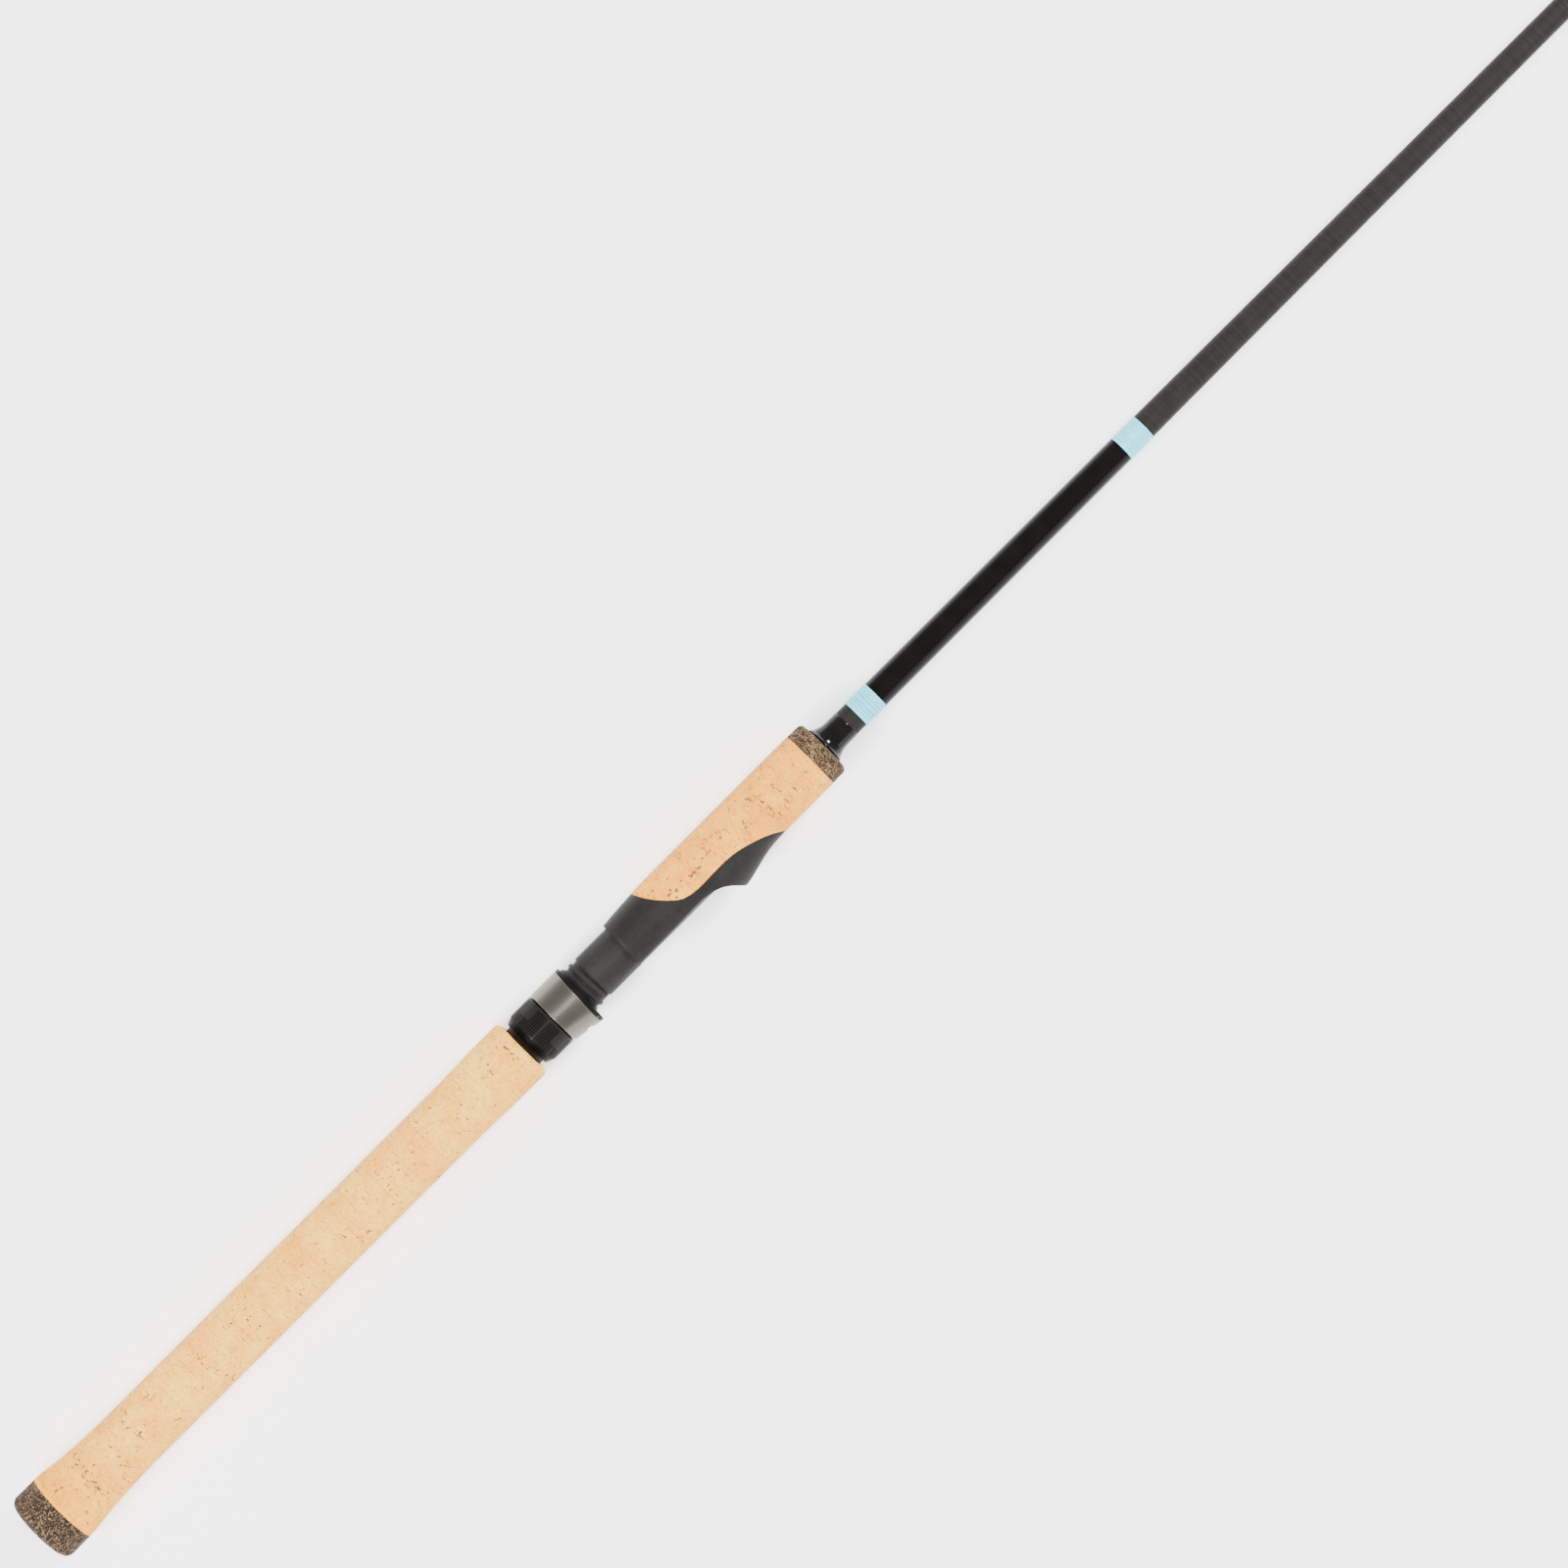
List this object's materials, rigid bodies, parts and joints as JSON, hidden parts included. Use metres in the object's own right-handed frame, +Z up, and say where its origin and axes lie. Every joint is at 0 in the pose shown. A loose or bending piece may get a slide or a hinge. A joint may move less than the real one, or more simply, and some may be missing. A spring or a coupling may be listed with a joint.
{
  "type": "spinning rod",
  "caption": "One-piece spinning fishing rod with cork grips, a screw-locked reel seat, line guides and a tip-top.",
  "frame": {"origin": "centre of the butt's end face", "axes": "+X along the rod from butt to tip, -Y towards the reel and the line guides, +Z up as the rod lies on its side"},
  "size_m": [2.286, 0.0597, 0.031],
  "materials": {
    "cork": "natural, sanded",
    "butt_composite": "matte, speckled",
    "composite_cork": "matte, speckled",
    "seat_moulding": "matte",
    "arbor_foam": "matte",
    "hood_metal": "satin brushed",
    "liner_plastic": "matte",
    "nut_plastic": "satin",
    "gloss_black": "gloss",
    "label_gloss": "gloss",
    "trim_thread": "thread under clear coat",
    "graphite": "matte",
    "guide_steel": "dark polished",
    "ring_ceramic": "polished ceramic",
    "wrap_thread": "thread under clear coat"
  },
  "bodies": {
    "rod": {"blank": "graphite", "butt_cap": "butt_composite", "fore_cork_1": "cork", "fore_cork_2": "cork", "fore_cork_3": "cork", "fore_cork_4": "cork", "fore_cork_5": "cork", "fore_cork_6": "cork", "fore_cork_7": "cork", "fore_end_ring": "composite_cork", "front_trim_wrap": "trim_thread", "guide_frame_1": "guide_steel", "guide_frame_2": "guide_steel", "guide_frame_3": "guide_steel", "guide_frame_4": "guide_steel", "guide_frame_5": "guide_steel", "guide_frame_6": "guide_steel", "guide_frame_7": "guide_steel", "guide_ring_1": "ring_ceramic", "guide_ring_2": "ring_ceramic", "guide_ring_3": "ring_ceramic", "guide_ring_4": "ring_ceramic", "guide_ring_5": "ring_ceramic", "guide_ring_6": "ring_ceramic", "guide_ring_7": "ring_ceramic", "guide_wraps_1": "wrap_thread", "guide_wraps_2": "wrap_thread", "guide_wraps_3": "wrap_thread", "label_coat": "label_gloss", "rear_cork_01": "cork", "rear_cork_02": "cork", "rear_cork_03": "cork", "rear_cork_04": "cork", "rear_cork_05": "cork", "rear_cork_06": "cork", "rear_cork_07": "cork", "rear_cork_08": "cork", "rear_cork_09": "cork", "rear_cork_10": "cork", "rear_cork_11": "cork", "rear_cork_12": "cork", "rear_cork_13": "cork", "rear_cork_14": "cork", "rear_cork_15": "cork", "rear_cork_16": "cork", "rear_cork_17": "cork", "rear_cork_18": "cork", "rear_cork_19": "cork", "rear_cork_20": "cork", "rear_trim_wrap": "trim_thread", "reel_seat": "seat_moulding", "seat_arbors": "arbor_foam", "single_foot_wraps": "wrap_thread", "tip_ring": "ring_ceramic", "tip_top": "guide_steel", "tip_wrap": "wrap_thread", "winding_check": "gloss_black"},
    "hood": {"hood_liner": "liner_plastic", "hood_sleeve": "hood_metal"},
    "nut": {"lock_nut": "nut_plastic"}
  },
  "joints": [
    {"name": "hood_slide", "type": "slide", "parent": "rod", "child": "hood", "axis": [1, 0, 0], "range_m": [0, 0.02146]},
    {"name": "nut_spin", "type": "hinge", "parent": "hood", "child": "nut", "pos_m": [0.275, 0, 0], "axis": [1, 0, 0], "range_deg": [0, 2340]}
  ],
  "couplings": [
    {"joint": "hood_slide", "follows": "nut_spin", "m_per_rad": 0.00052521}
  ]
}
